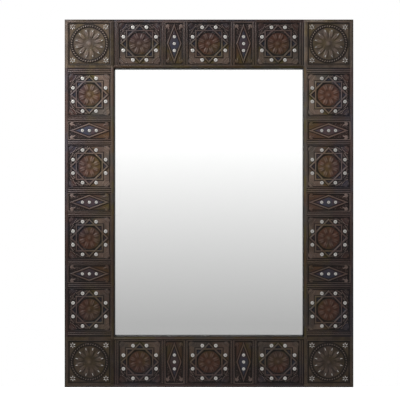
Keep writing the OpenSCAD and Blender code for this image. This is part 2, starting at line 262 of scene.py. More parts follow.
fanForm = Values(
    inset=1.5 * mm,  # from the field's corner to the foot of a fan
    ribAngles=(11, 68),  # the first one and their spread, in degrees
    ribWidth=2.2 * mm,
    beadAngles=(6, 78),
    beadsApart=3.4 * mm,  # from the ribs
    beadRadius=1.3 * mm,
)


def cornerFans(ribs, length, height, beads):  # ribs and a beaded arc in each corner of a square panel
    v = fanForm
    firstRib, ribSpread = v.ribAngles
    firstBead, beadSpread = v.beadAngles
    made = []
    for quarter in range(4):
        cx, cz = polar(fieldHalf * sqrt(2), (quarter + 0.5) * pi / 2)
        inward = quarter * pi / 2 + pi
        for i in range(ribs):
            angle = inward + radians(firstRib + ribSpread * i / (ribs - 1))
            dx, dz = polar(v.inset + length / 2, angle)
            made.append(lobeAt(cx + dx, cz + dz, angle, length, v.ribWidth, height))
        for i in range(beads):
            angle = inward + radians(firstBead + beadSpread * (i + 0.5) / beads)
            dx, dz = polar(length + v.beadsApart, angle)
            made.append(bossAt(cx + dx, cz + dz, v.beadRadius, height))
    return made


def dyed(panel, name, amountAt):  # how much of a dye each point of a panel takes
    layer = panel.data.attributes.new(name, "FLOAT", "POINT")
    layer.data.foreach_set("value", [amountAt(point.co.x, point.co.z) for point in panel.data.vertices])


panelKinds = {"star": 1.0, "lozenge": 2.0, "corner": 3.0}


def marked(panel, kind, **dyes):  # each point keeps its place on the panel in millimetres, and its dyes
    layer = panel.data.attributes.new("spot", "FLOAT_VECTOR", "POINT")
    layer.data.foreach_set("vector", [part / mm for point in panel.data.vertices for part in point.co])
    dyed(panel, "kind", lambda x, z: panelKinds[kind])
    for name, amountAt in dyes.items():
        dyed(panel, name, amountAt)
    return panel


def pressed(parts, name):  # joins forms into one soft skin, as wet leather takes a stamp
    v = tooling
    factor, rounds = v.smoothing
    panel = joined(parts, name)
    withModifier(panel, "REMESH", mode="VOXEL", voxel_size=v.voxel)
    withModifier(panel, "SMOOTH", factor=factor, iterations=rounds)
    enter("EDIT")
    pickAll()
    bpy.ops.mesh.bisect(
        plane_co=(0, v.sunk * v.cutShare, 0), plane_no=(0, 1, 0), clear_outer=True, use_fill=True)
    enter("OBJECT")
    withModifier(panel, "DECIMATE", ratio=v.keep)
    print(name, triangles(panel), "triangles")
    return panel


# Star panel: two squares make an eight-pointed star round a rosette

starPanel = Values(
    radius=42 * mm,
    strapWidth=3.0 * mm,
    strapHeight=1.3 * mm,
    petals=(8, 7.0 * mm, 24.6 * mm, 9.4 * mm, 1.4 * mm),  # count, start, end, width and height
    boss=(5.4 * mm, 1.52 * mm),
    dots=8,
    dotDistance=38.35 * mm,
    dotRadius=4.2 * mm,
    dotSeat=(1.0 * mm, 0.9 * mm),  # how far it reaches past the dot, and its height
    fans=(5, 13 * mm, 1.2 * mm, 6),  # ribs, their length and height, and beads
    strokeArcs=(26 * mm, 4.7 * mm, 9),  # first radius, step and count
    strokeApart=2.7 * mm,
    strokeSize=(4.4 * mm, 1.5 * mm, 0.95 * mm),
    strokeLean=0.5,
    strokeClear=(1.3 * mm, 6.2 * mm, 19 * mm),  # from straps, dots and corners
    strokeMargin=(2.0 * mm, 1.5 * mm),  # from the border and from the panel's middle line
    hatchClear=6 * mm,  # from the fans
    paleFrom=(0.35, 12 * mm),  # slope of the pale corners' edge, and where they start
)


def starDots():
    step = 2 * pi / starPanel.dots
    return [polar(starPanel.dotDistance, (i + 0.5) * step) for i in range(starPanel.dots)]


def starReach(x, z):  # how far out a point is, measured square to each square's sides
    return (abs(x) + abs(z)) / sqrt(2), max(abs(x), abs(z))


def starStrokes():  # short punched strokes that fan over the outer half of the ground
    v = starPanel
    pastStrap, dotClear, cornerClear = v.strokeClear
    strapClear = v.strapWidth / 2 + pastStrap
    strapMiddle = v.radius / sqrt(2) - v.strapWidth / 2
    fromBorder, fromMiddle = v.strokeMargin
    first, step, arcs = v.strokeArcs
    made = []
    for arc in range(arcs):
        radius = first + arc * step
        count = int(pi * radius / v.strokeApart)
        for i in range(1, count):
            angle = pi * (i + 0.5 * (arc % 2)) / count
            x, z = polar(radius, angle)
            blocked = (
                max(abs(x), z) > fieldHalf - fromBorder or z < fromMiddle
                or any(abs(reach - strapMiddle) < strapClear for reach in starReach(x, z))
                or any(hypot(x - dx, z - dz) < dotClear for dx, dz in starDots())
                or hypot(abs(x) - fieldHalf, z - fieldHalf) < cornerClear)
            if not blocked:
                lean = v.strokeLean if arc % 2 else -v.strokeLean
                made.append(lobeAt(x, z, angle + lean, *v.strokeSize))
    return made


def makeStarPanel():
    v = starPanel
    parts = [panelBlank(tooling.square)]
    for turn in (0, pi / 4):
        parts.append(strapRing(4, v.radius, v.strapWidth, v.strapHeight, turn))
    parts += petals(*v.petals)
    parts.append(bossAt(0, 0, *v.boss))
    parts += dotSeats(v, starDots())
    parts += cornerFans(*v.fans)
    parts += starStrokes()
    panel = pressed(parts, "starPanel")
    side = v.radius / sqrt(2)

    def inPoints(x, z):
        near, far = sorted(starReach(x, z))
        return float(near < side - v.strapWidth and far > side)

    def inRosette(x, z):
        return float(hypot(x, z) < v.petals[2])

    def outside(x, z):
        toCorner = hypot(abs(x) - tooling.square / 2, abs(z) - tooling.square / 2)
        clear = toCorner > v.fans[1] + v.hatchClear
        return float(min(starReach(x, z)) > side and z > 0 and clear)

    def innerCorner(x, z):
        slope, start = v.paleFrom
        return float(min(starReach(x, z)) > side and -z > slope * abs(x) and abs(x) > start)

    return marked(panel, "star", teal=inPoints, rust=inRosette, hatch=outside, pale=innerCorner)


# Lozenge panel: a lozenge inside a lozenge with three dots, and leaves in its corners

lozengePanel = Values(
    halfWidth=15.8 * mm,
    halfHeight=42.8 * mm,
    strapWidth=5.4 * mm,  # before the lozenge is narrowed
    strapHeight=1.3 * mm,
    fieldShare=0.70,
    fieldHeight=0.6 * mm,
    dotRadius=3.6 * mm,
    dotSeat=(0.9 * mm, 1.1 * mm),
    dotStep=15 * mm,
    leaves=((0.0, 17 * mm), (0.42, 12 * mm), (-0.34, 11 * mm)),  # lean and length
    leafWidth=3.2 * mm,
    leafHeight=1.2 * mm,
    leafInset=1.0 * mm,  # from the border to a leaf's foot
    leafSlope=0.42,
    rust=0.5,
)


def lozengeDots():
    return [(0, step * lozengePanel.dotStep) for step in (-1, 0, 1)]


def makeLozengePanel():
    v = lozengePanel
    parts = [panelBlank(tooling.narrow)]
    strap = strapRing(4, v.halfHeight, v.strapWidth, v.strapHeight)
    field = strapRing(4, v.halfHeight * v.fieldShare, 0, v.fieldHeight)
    for lozenge in (strap, field):
        lozenge.scale = (v.halfWidth / v.halfHeight, 1, 1)
        parts.append(settle(lozenge))
    parts += dotSeats(v, lozengeDots())
    cornerX = tooling.narrow / 2 - tooling.border - v.leafInset
    cornerZ = fieldHalf - v.leafInset
    for sx, sz in corners:
        for lean, length in v.leaves:
            angle = atan2(-sz, -sx * v.leafSlope) + lean * sx * sz
            dx, dz = polar(length / 2, angle)
            size = (length, v.leafWidth, v.leafHeight)
            parts.append(lobeAt(sx * cornerX + dx, sz * cornerZ + dz, angle, *size))
    panel = pressed(parts, "lozengePanel")

    def inLozenge(x, z, share=v.fieldShare):
        return float(abs(x) / v.halfWidth + abs(z) / v.halfHeight < share)

    return marked(
        panel, "lozenge", teal=inLozenge,
        rust=lambda x, z: v.rust * float(not inLozenge(x, z)),
        hatch=lambda x, z: float(z > 0 and not inLozenge(x, z, 1.0)))


# Corner panel: a rope ring round a larger rosette

cornerPanel = Values(
    ropeRadius=38.5 * mm,
    ropeTurns=46,
    ropeTwist=(6.2 * mm, 3.0 * mm, 1.4 * mm),  # length, width and height of one strand
    ropeSlant=0.7,
    petals=(12, 9.0 * mm, 34.4 * mm, 8.8 * mm, 1.4 * mm),
    boss=(6.4 * mm, 1.52 * mm),
    flowerPlace=36.0 * mm,  # from the panel's middle, along X and along Z
    flowerSeat=(7.6 * mm, 0.5 * mm),
    strokes=(12, 28 * mm, (8.0 * mm, 1.8 * mm, 1.58 * mm)),  # count, distance and size
    flowerStrokes=(6, 3.9 * mm, (5.6 * mm, 1.9 * mm, 1.4 * mm)),
    teal=0.15,
)


def flowerPlaces():
    return [(sx * cornerPanel.flowerPlace, sz * cornerPanel.flowerPlace) for sx, sz in corners]


def makeCornerPanel():
    v = cornerPanel
    parts = [panelBlank(tooling.square)]
    for i in range(v.ropeTurns):
        angle = 2 * pi * i / v.ropeTurns
        x, z = polar(v.ropeRadius, angle)
        parts.append(lobeAt(x, z, angle + pi / 2 + v.ropeSlant, *v.ropeTwist))
    parts += petals(*v.petals)
    parts.append(bossAt(0, 0, *v.boss))
    parts += [bossAt(x, z, *v.flowerSeat) for x, z in flowerPlaces()]
    panel = pressed(parts, "cornerPanel")
    return marked(panel, "corner", teal=lambda x, z: v.teal * (hypot(x, z) < v.ropeRadius))


# Silver dots and strokes, painted on raised seats

silverDot = Values(
    radius=4.2 * mm,
    corners=16,
    rim=0.95 * mm,
    # how far each ring of its face goes in, and its move along Y
    steps=((0.6 * mm, -0.32 * mm), (1.9 * mm, -0.14 * mm), (0.6 * mm, 0.28 * mm)),
)


def makeDot():
    v = silverDot
    bpy.ops.mesh.primitive_cylinder_add(
        vertices=v.corners, radius=v.radius, depth=v.rim,
        location=(0, -v.rim / 2, 0), rotation=(pi / 2, 0, 0))
    dot = settle(active())
    enter("EDIT")
    pick(dot, "FACE", facesFront)
    for inset, move in v.steps:
        bpy.ops.mesh.inset(thickness=inset)
        bpy.ops.transform.translate(value=(0, move, 0))
    enter("OBJECT")
    return dot


# Leather covers: the CAD sheet with its front cut plain, dressed with the pressed panels

covers = Values(
    lineInset=5.4 * mm,  # from an edge of the frame to its tooled line
    line=(1.3 * mm, 0.55 * mm),  # width and height
    rib=(1.7 * mm, 0.7 * mm),
    ribApart=1.9 * mm,  # each of a pair of ribs from the middle of a gap
    beadCorners=12,
    beadBevel={"width": 0.3 * mm, "segments": 2, "limit_method": "ANGLE", "angle_limit": 1.2},
    mergeDistance=0.002 * mm,
    smoothAngle=radians(50),
    uneven=0.35 * mm,
    unevenScale=18 * mm,
    unevenDepth=2,
    patina={"left": 0.10, "right": 0.02, "top": 0.50, "bottom": 0.10},  # how much darker each sheet is made
)


def plainSheet(node, name):
    sheet = bpy.data.objects.new(name, cadNodes[node].data.copy())
    bpy.context.collection.objects.link(sheet)
    sheet.data.materials.clear()
    only(sheet)
    enter("EDIT")
    pickAll()
    bpy.ops.mesh.remove_doubles(threshold=covers.mergeDistance)
    pickAll()
    bpy.ops.mesh.bisect(plane_co=(0, leatherY, 0), plane_no=(0, -1, 0), clear_outer=True, use_fill=True)
    enter("OBJECT")
    return sheet


def beadAlong(x0, z0, x1, z1, size):  # a slim half-round ridge, straight along X or Z
    width, height = size
    length = abs(x1 - x0) + abs(z1 - z0)
    bpy.ops.mesh.primitive_cylinder_add(vertices=covers.beadCorners, radius=0.5, depth=1)
    turn = pi / 2 if abs(x1 - x0) > abs(z1 - z0) else 0
    place = ((x0 + x1) / 2, leatherY, (z0 + z1) / 2)
    bead = shaped(place, (width, 2 * height, length), (0, turn, 0))
    return withModifier(bead, "BEVEL", **covers.beadBevel)


starMaster = makeStarPanel()
lozengeMaster = makeLozengePanel()
cornerMaster = makeCornerPanel()
dotMaster = makeDot()
print("panel masters pressed")

star, lozenge = "star", "lozenge"
row = [star, lozenge, star, lozenge, star]
column = [star, lozenge, star, lozenge, star, lozenge, star]


def widthOf(kind):
    return tooling.square if kind == star else tooling.narrow


def rowPlaces(kinds, length):  # middles of the panels and of the gaps round them, from the row's middle
    gap = (length - sum(widthOf(kind) for kind in kinds)) / (len(kinds) + 1)
    places, gaps, at = [], [], -length / 2
    for kind in kinds:
        gaps.append(at + gap / 2)
        places.append(at + gap + widthOf(kind) / 2)
        at += gap + widthOf(kind)
    return places, gaps + [at + gap / 2]


def turned(x, z, angle):
    return x * cos(angle) + z * sin(angle), z * cos(angle) - x * sin(angle)


def unevenTexture():
    clouds = bpy.data.textures.new("unevenLeather", "CLOUDS")
    clouds.noise_scale = covers.unevenScale
    clouds.noise_depth = covers.unevenDepth
    return clouds


uneven = unevenTexture()


def dressedCover(side):
    standing = side in ("left", "right")
    fixedX = {"left": -bandX, "right": bandX}.get(side)
    fixedZ = {"top": bandTop, "bottom": bandBottom}.get(side)
    kinds = column if standing else row
    middle = openMidZ if standing else 0
    places, gaps = rowPlaces(kinds, 2 * (openHalfZ if standing else openX))
    outward = {"top": 0, "right": pi / 2, "bottom": pi, "left": -pi / 2}[side]
    panels, silver = [], []
    for kind, at in zip(kinds, places):
        spot = (fixedX, leatherY, middle + at) if standing else (middle + at, leatherY, fixedZ)
        master = starMaster if kind == star else lozengeMaster
        panels.append(twinOf(master, "panel", spot, (0, outward, 0)))
        size = 1 if kind == star else lozengePanel.dotRadius / silverDot.radius
        for x, z in starDots() if kind == star else lozengeDots():
            dx, dz = turned(x, z, outward)
            silver.append(twinOf(
                dotMaster, "dot", (spot[0] + dx, leatherY, spot[2] + dz), size=(size, 1, size)))
    if standing:
        for z in (bandTop, bandBottom):
            panels.append(twinOf(cornerMaster, "panel", (fixedX, leatherY, z)))
            silver += cornerStrokes(fixedX, z)
    tiles = joined(panels, side + "Panels")
    withModifier(
        tiles, "DISPLACE", texture=uneven, texture_coords="LOCAL", direction="Y",
        strength=covers.uneven, mid_level=0.5)
    parts = [plainSheet(side + "_leather_cover", side + "LeatherCover"), tiles]
    half = tooling.square / 2
    for at in gaps:
        for apart in (-covers.ribApart, covers.ribApart):
            rib = middle + at + apart
            ends = (fixedX - half, rib, fixedX + half, rib) if standing else (
                rib, fixedZ - half, rib, fixedZ + half)
            parts.append(beadAlong(*ends, covers.rib))
    parts += edgeLines(side, standing)
    cover = joined(parts, side + "LeatherCover")
    dyed(cover, "patina", lambda x, z: covers.patina[side])
    paint = joined(silver, side + "SilverDots")
    for piece in (cover, paint):
        only(piece)
        bpy.ops.object.shade_smooth_by_angle(angle=covers.smoothAngle)
        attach(piece, "frame")
        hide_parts(side + "_leather_cover")
    print(side, "cover", triangles(cover), "triangles, silver", triangles(paint))
    return cover, paint


def strokesRound(x, z, count, distance, size):
    made = []
    for angle in around(count):
        dx, dz = polar(distance, angle)
        made.append(lobeAt(x + dx, z + dz, angle, *size, y=leatherY))
        dyed(made[-1], "covered", lambda x, z: 1.0)
    return made


def cornerStrokes(x, z):
    v = cornerPanel
    made = strokesRound(x, z, *v.strokes)
    for dx, dz in flowerPlaces():
        made += strokesRound(x + dx, z + dz, *v.flowerStrokes)
    return made


def edgeLines(side, standing):
    inset, size = covers.lineInset, covers.line
    made = []
    if standing:
        sign = 1 if side == "right" else -1
        inner, outer = sign * (openX + inset), sign * (outerX - inset)
        made.append(beadAlong(inner, openBottom - inset, inner, openTop + inset, size))
        made.append(beadAlong(outer, inset - outerTop, outer, outerTop - inset, size))
        for z in (outerTop - inset, inset - outerTop):
            made.append(beadAlong(sign * openX, z, outer, z, size))
    else:
        sign = 1 if side == "top" else -1
        edge = openTop if side == "top" else openBottom
        for z in (edge + sign * inset, sign * (outerTop - inset)):
            made.append(beadAlong(-openX, z, openX, z, size))
    return made


dressed = {side: dressedCover(side) for side in sides}
for master in (starMaster, lozengeMaster, cornerMaster, dotMaster, plainLobe):
    bpy.data.objects.remove(master)
print("leather covers dressed")


# Mirror pane: clear glass in front of the silver, with ground edges

pane = Values(gapToSilver=0.05 * mm, edge=0.8 * mm)


def makePane():
    low, high = glassLow, glassHigh
    back = silverFront - pane.gapToSilver
    bpy.ops.mesh.primitive_cube_add(size=1)
    glass = shaped(
        ((low.x + high.x) / 2, (low.y + back) / 2, (low.z + high.z) / 2),
        (high.x - low.x, back - low.y, high.z - low.z))
    glass.name = "mirrorPane"
    withModifier(glass, "BEVEL", width=pane.edge, segments=2, limit_method="ANGLE")
    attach(glass, "frame")
    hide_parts("mirror_glass")
    return glass


mirrorPane = makePane()
print("mirror pane made")


# Node helpers

def feed(socket, value):
    if isinstance(value, bpy.types.NodeSocket):
        socket.id_data.links.new(value, socket)
    else:
        socket.default_value = value


def feedRow(sockets, *values):
    for socket, value in zip(sockets, values):
        feed(socket, value)


def feedAll(node, **inputs):
    for key, value in inputs.items():
        feed(node.inputs[key.replace("_", " ")], value)


def put(tree, kind, settings=None, **inputs):
    made = tree.nodes.new("ShaderNode" + kind)
    for key, value in (settings or {}).items():
        setattr(made, key, value)
    feedAll(made, **inputs)
    return made


def treeOf(*values):  # the node tree that the sockets among these values are in
    return next(value.id_data for value in values if isinstance(value, bpy.types.NodeSocket))


def calc(operation, a, b=0.0, clamp=False):
    made = put(treeOf(a, b), "Math", {"operation": operation, "use_clamp": clamp})
    feedRow(made.inputs, a, b)
    return made.outputs[0]


less, plus, least, most, absolute = [
    partial(calc, operation) for operation in ("SUBTRACT", "ADD", "MINIMUM", "MAXIMUM", "ABSOLUTE")]


def product(*values):
    result = values[0]
    for value in values[1:]:
        result = calc("MULTIPLY", result, value)
    return result


def opposite(*values):  # 1 less their product
    return less(1.0, product(*values))


def fade(value, low, high, start=0.0, end=1.0):  # start at low, end at high, soft at both
    made = put(treeOf(value), "MapRange", {"interpolation_type": "SMOOTHSTEP"})
    feedRow(made.inputs, value, low, high, start, end)
    return made.outputs[0]


def blendOf(mask, a, b, mode="MIX"):
    made = put(treeOf(mask), "Mix", {"data_type": "RGBA", "blend_type": mode})
    feedRow(made.inputs[:1] + made.inputs[6:8], mask, a, b)
    return made.outputs[2]


def blendValue(mask, a, b):
    made = put(treeOf(mask), "Mix", {"data_type": "FLOAT"})
    feedRow(made.inputs[:1] + made.inputs[2:4], mask, a, b)
    return made.outputs[0]


def noise(place, scale, detail=3.0, roughness=0.5):
    made = put(treeOf(place), "TexNoise", Vector=place, Scale=scale, Detail=detail, Roughness=roughness)
    return made.outputs[0]


def newGroup(name, vector, numbers, gives):  # takes a vector and numbers, and gives numbers
    tree = bpy.data.node_groups.new(name, "ShaderNodeTree")
    tree.interface.new_socket(vector, in_out="INPUT", socket_type="NodeSocketVector")
    for labels, way in ((numbers, "INPUT"), (gives, "OUTPUT")):
        for label in labels:
            tree.interface.new_socket(label, in_out=way, socket_type="NodeSocketFloat")
    return tree, tree.nodes.new("NodeGroupInput").outputs, tree.nodes.new("NodeGroupOutput")


def use(group, **inputs):
    return put(treeOf(*inputs.values()), "Group", {"node_tree": group}, **inputs).outputs


def kindFrom(kind, name):  # 1 on panels of this kind and of the kinds after it
    number = panelKinds[name]
    return fade(kind, number - 0.6, number - 0.4)


def linear(red, green, blue):  # a colour given as 0-255 screen values
    parts = []
    for part in (red, green, blue):
        share = part / 255
        parts.append(share / 12.92 if share <= 0.04045 else ((share + 0.055) / 1.055) ** 2.4)
    return (*parts, 1.0)


def newMaterial(name):
    material = bpy.data.materials.new(name)
    material.use_nodes = True
    tree = material.node_tree
    shader = tree.nodes["Principled BSDF"]
    place = put(tree, "TexCoord").outputs["Object"]
    return material, tree, shader, place


def makePlain(name, **inputs):
    material, tree, shader, place = newMaterial(name)
    tree.nodes.remove(place.node)
    feedAll(shader, **inputs)
    return material


def surfaced(shader, height, depth, **inputs):
    bump = put(shader.id_data, "Bump", Height=height, Distance=depth, Strength=1.0)
    feedAll(shader, Normal=bump.outputs[0], **inputs)


# Shared effects. A pair of numbers says where a mask starts and where it ends.

patchNoise = {"Detail": 4.0, "Roughness": 0.55, "Distortion": 0.4}


def makePatches():  # soft uneven patches, as dye and handling leave
    tree, given, out = newGroup("patches", "Place", ("Scale", "Spread"), ("Mask",))
    cloud = put(tree, "TexNoise", Vector=given["Place"], Scale=given["Scale"], **patchNoise)
    low, high = less(0.5, given["Spread"]), plus(0.5, given["Spread"])
    feedAll(out, Mask=fade(cloud.outputs[0], low, high))
    return tree


def patchy(place, scale, spread):
    return use(patches, Place=place, Scale=scale, Spread=spread)[0]


grainForm = Values(smoothness=0.6, fineScale=2.6, fineShare=0.5, fineDetail=2.0, pores=(0.62, 0.72))


def makeLeatherGrain():  # pebbled skin with fine pores
    v = grainForm
    tree, given, out = newGroup("leatherGrain", "Place", ("Pebble",), ("Height", "Pores"))
    cells = put(tree, "TexVoronoi", {"feature": "SMOOTH_F1"}, Vector=given["Place"],
                Scale=given["Pebble"], Smoothness=v.smoothness)
    fine = put(tree, "TexNoise", Vector=given["Place"],
               Scale=product(given["Pebble"], v.fineScale), Detail=v.fineDetail)
    height = opposite(cells.outputs["Distance"])
    height = plus(height, product(fine.outputs[0], v.fineShare))
    feedAll(out, Height=height, Pores=fade(fine.outputs[0], *v.pores))
    return tree


stippleForm = Values(randomness=0.8, pits=(0.34, 0.16), flecks=(0.72, 0.95))


def makeStipple():  # small punched marks with light and dark flecks
    v = stippleForm
    tree, given, out = newGroup("stipple", "Place", ("Scale",), ("Pits", "Flecks"))
    marks = put(tree, "TexVoronoi", {"feature": "F1"}, Vector=given["Place"],
                Scale=given["Scale"], Randomness=v.randomness)
    split = put(tree, "SeparateColor", Color=marks.outputs["Color"])
    pits = fade(marks.outputs["Distance"], *v.pits)
    feedAll(out, Pits=pits, Flecks=fade(split.outputs[0], *v.flecks))
    return tree


zoneReach = Values(
    face=(-2.5 * mm, -0.5 * mm),  # above the plain leather
    inner=(40 * mm, 56 * mm),  # from the frame's outside
    corner=(0.5 * mm, 2.0 * mm),  # past both edges of the opening
    rim=(4.0 * mm, 0.5 * mm),  # from the frame's outside
    between=(6.4 * mm, 7.2 * mm),  # from the nearer edge of a band
    # lipStain: a band of painted shade on the lip beside the opening
    lipStain=(2.0 * mm, 0.8 * mm),  # from the opening
    lipEdge=(0.6 * mm, 0.0),
    lipTop=2 * mm,
    # low: where a painted shade starts and where it is full, darker towards the frame's bottom
    low=(0.10, -0.14),  # above the frame's middle
)


def makeFrameZones():  # masks over the frame's face, and the height above the plain leather in millimetres
    v = zoneReach
    tree, given, out = newGroup(
        "frameZones", "Place", (),
        ("Face", "Inner", "Corner", "Rim", "Lip", "Between", "Low", "High"))
    x, y, z = put(tree, "SeparateXYZ", Vector=given["Place"]).outputs
    acrossX, acrossZ = absolute(x), absolute(z)
    fromOpenX = less(acrossX, openX)
    fromOpenZ = less(absolute(less(z, openMidZ)), openHalfZ)
    fromLip = most(fromOpenX, fromOpenZ)
    inCorner = least(fromOpenX, fromOpenZ)
    toEdge = least(less(outerX, acrossX), less(outerTop, acrossZ))
    margin = least(fromLip, toEdge)
    high = less(leatherY, y)
    onFace = fade(high, *v.face)
    for name, distance, reach in (
            ("Inner", toEdge, v.inner), ("Corner", inCorner, v.corner),
            ("Rim", toEdge, v.rim), ("Between", margin, v.between)):
        feed(out.inputs[name], product(fade(distance, *reach), onFace))
    # Painted shade on the lip beside the opening, left off along the top edge, over a thin dark edge dye
    # all round the opening.
    belowTop = fade(z, openTop, openTop - v.lipTop)
    stained = product(fade(fromLip, *v.lipStain), belowTop)
    lip = most(fade(fromLip, *v.lipEdge), stained)
    feedAll(out, Face=onFace, Lip=lip, Low=fade(z, *v.low), High=calc("DIVIDE", high, mm))
    return tree


lineForm = Values(
    petalRing=(1.2, 0.2),  # how far it runs past the petals, and half its width, in millimetres
    ropeShare=0.8,  # half the rope's line as a share of a strand's width
    fullShare=0.3,  # share of the reach that is fully dark
)


def makePanelLines():  # dark antiquing beside the straps, the rope and the borders, in millimetres
    v = lineForm
    tree, given, out = newGroup("panelLines", "Spot", ("Kind", "Reach"), ("Lines",))
    x, y, z = [absolute(part) for part in put(tree, "SeparateXYZ", Vector=given["Spot"]).outputs]
    fromMiddle = put(tree, "VectorMath", {"operation": "LENGTH"}, Vector=given["Spot"]).outputs["Value"]

    def beside(value, middle, halfWidth, size=1.0):  # distance from a line's edges, negative on it
        off = absolute(less(value, middle))
        return less(product(off, size), halfWidth)

    strap = starPanel.strapWidth / mm
    strapMiddle = starPanel.radius / mm / sqrt(2) - strap / 2
    reaches = most(x, z), product(plus(x, z), 1 / sqrt(2))
    straps = [beside(reach, strapMiddle, strap / 2) for reach in reaches]
    past, halfRing = v.petalRing
    petalRing = beside(fromMiddle, starPanel.petals[2] / mm + past, halfRing)
    starLine = least(least(*straps), petalRing)
    halfWide, halfHigh = lozengePanel.halfWidth / mm, lozengePanel.halfHeight / mm
    slope = 1 / hypot(1 / halfWide, 1 / halfHigh)
    inside = 1 - lozengePanel.strapWidth / mm * sqrt(2) / halfHigh
    reach = plus(calc("DIVIDE", x, halfWide), calc("DIVIDE", z, halfHigh))
    lozengeLine = beside(reach, (1 + inside) / 2, (1 - inside) / 2 * slope, slope)
    rope = cornerPanel.ropeTwist[1] / mm
    ringLine = beside(fromMiddle, cornerPanel.ropeRadius / mm, rope * v.ropeShare)
    isNarrow = kindFrom(given["Kind"], "lozenge")
    isCorner = kindFrom(given["Kind"], "corner")
    line = blendValue(isCorner, blendValue(isNarrow, starLine, lozengeLine), ringLine)
    border = tooling.border / mm
    fullHalf, narrowHalf = tooling.square / 2 / mm - border, tooling.narrow / 2 / mm - border
    halfX = blendValue(less(isNarrow, isCorner), fullHalf, narrowHalf)
    line = least(line, absolute(least(less(halfX, x), less(fullHalf, z))))
    near = fade(line, given["Reach"], product(given["Reach"], v.fullShare))
    feedAll(out, Lines=product(near, kindFrom(given["Kind"], "star")))
    return tree


grainOfWood = Values(  # each stretch is a share of the length along the grain
    cells=(0.55, 6.5),  # stretch and scale
    knotted=(0.40, 0.42),  # which cells hold a knot
    knot=(0.085, 0.05),
    bend=(0.34, 0.04),  # how near a knot the rings bend
    bendDepth=0.03,
    ringStretch=0.07,
    rings={"Distortion": 17.0, "Detail": 1.0, "Detail_Scale": 0.12},
    late=(0.3, 1.0),  # the darker wood in a ring
    fibre=(0.03, 900.0),
    strength=(0.1, 45.0),
    strengthReach=(0.3, 0.7, 0.25, 1.0),
)


def makeWoodGrain():  # growth lines along X, fine fibres and a few knots
    v = grainOfWood
    tree, given, out = newGroup("woodGrain", "Place", ("Scale", "Knots"), ("Rings", "Fibre", "Knot"))

    def drawnOut(stretch):
        made = put(tree, "VectorMath", {"operation": "MULTIPLY"})
        feedRow(made.inputs, given["Place"], (stretch, 1.0, 1.0))
        return made.outputs[0]

    def drawnNoise(stretch, scale):
        return noise(drawnOut(stretch), scale)

    stretch, scale = v.cells
    cells = put(
        tree, "TexVoronoi", {"feature": "F1"}, Vector=drawnOut(stretch), Scale=scale, Randomness=1.0)
    picked = put(tree, "SeparateColor", Color=cells.outputs["Color"]).outputs[0]
    picked = product(fade(picked, *v.knotted), given["Knots"])
    near = product(fade(cells.outputs["Distance"], *v.bend), picked)
    bent = put(tree, "CombineXYZ", Z=product(near, v.bendDepth))
    slow = put(tree, "VectorMath", {"operation": "ADD"})
    feedRow(slow.inputs, drawnOut(v.ringStretch), bent.outputs[0])
    rings = put(tree, "TexWave", {"wave_type": "BANDS", "bands_direction": "DIAGONAL"},
                Vector=slow.outputs[0], Scale=given["Scale"], **v.rings)
    strength = fade(drawnNoise(*v.strength), *v.strengthReach)
    late = product(fade(rings.outputs["Fac"], *v.late), strength)
    knot = product(fade(cells.outputs["Distance"], *v.knot), picked)
    feedAll(out, Rings=late, Fibre=drawnNoise(*v.fibre), Knot=knot)
    return tree


patches = makePatches()
leatherGrain = makeLeatherGrain()
stipple = makeStipple()
frameZones = makeFrameZones()
panelLines = makePanelLines()
woodGrain = makeWoodGrain()
print("shared effects made")


# Materials

leatherLook = Values(
    corner=linear(86, 73, 60),
    olive=linear(79, 71, 40),
    teal=linear(60, 62, 76),
    rust=linear(84, 56, 44),
    umber=linear(49, 39, 40),
    turned=linear(70, 58, 48),  # the sides and the strip turned over the back
    pale=linear(116, 99, 92),
    dark=linear(27, 23, 23),
    worn=linear(134, 117, 110),
    # dirt: the darkest tone, for dirt, antique dye and edge dye, and for painted shade in creases and on
    # the lip
    dirt=linear(11, 9, 9),
    # grime multiplies in the sheets' darkening and the painted shade towards the bottom
    grime=(0.15, 0.12, 0.10, 1),
    specular=0.12,
    rough=0.42,
    bump=0.25 * mm,
    dyePatches=(28.0, 0.10),  # scale and spread
    stainPatches=(19.0, 0.08),
    mottlePatches=(62.0, 0.12),
    shift=(0.7, 0.2, 1.3),  # keeps the stains off the dye's patches
    stipple=640.0,
    pebble=900.0,
    lineReach=3.0,
)
leatherAmount = Values(  # how strongly each effect shows
    dye=0.5, teal=0.75, cornerCool=0.6,
    stain=0.45, rust=0.5, cornerWarm=0.75, cornerOlive=0.55,
    pale=0.75, paleDyed=0.7, ground=0.8, mottle=0.12, cornerMottle=0.30,
    crest=0.28, seed=0.7, sunk=0.7, flecks=0.4, lines=0.85,
    # low, lip and crease set how strong the painted shade is towards the bottom, on the lip and in the
    # creases
    ridge=0.4, crease=0.85, low=0.50, rim=0.75, lip=0.95, pores=0.35,
    poreRough=0.2, sunkRough=0.2, ridgePolish=0.12, pebbles=0.5,
)
leatherReach = Values(  # heights in millimetres, and for the last two how sharply the surface bends
    ground=(0.4, 0.1), crest=(0.8, 1.3), seed=(0.35, 0.65), lines=(0.9, 0.5),
    formed=(0.02, 0.15), crease=(0.495, 0.46), ridge=(0.51, 0.55),
)


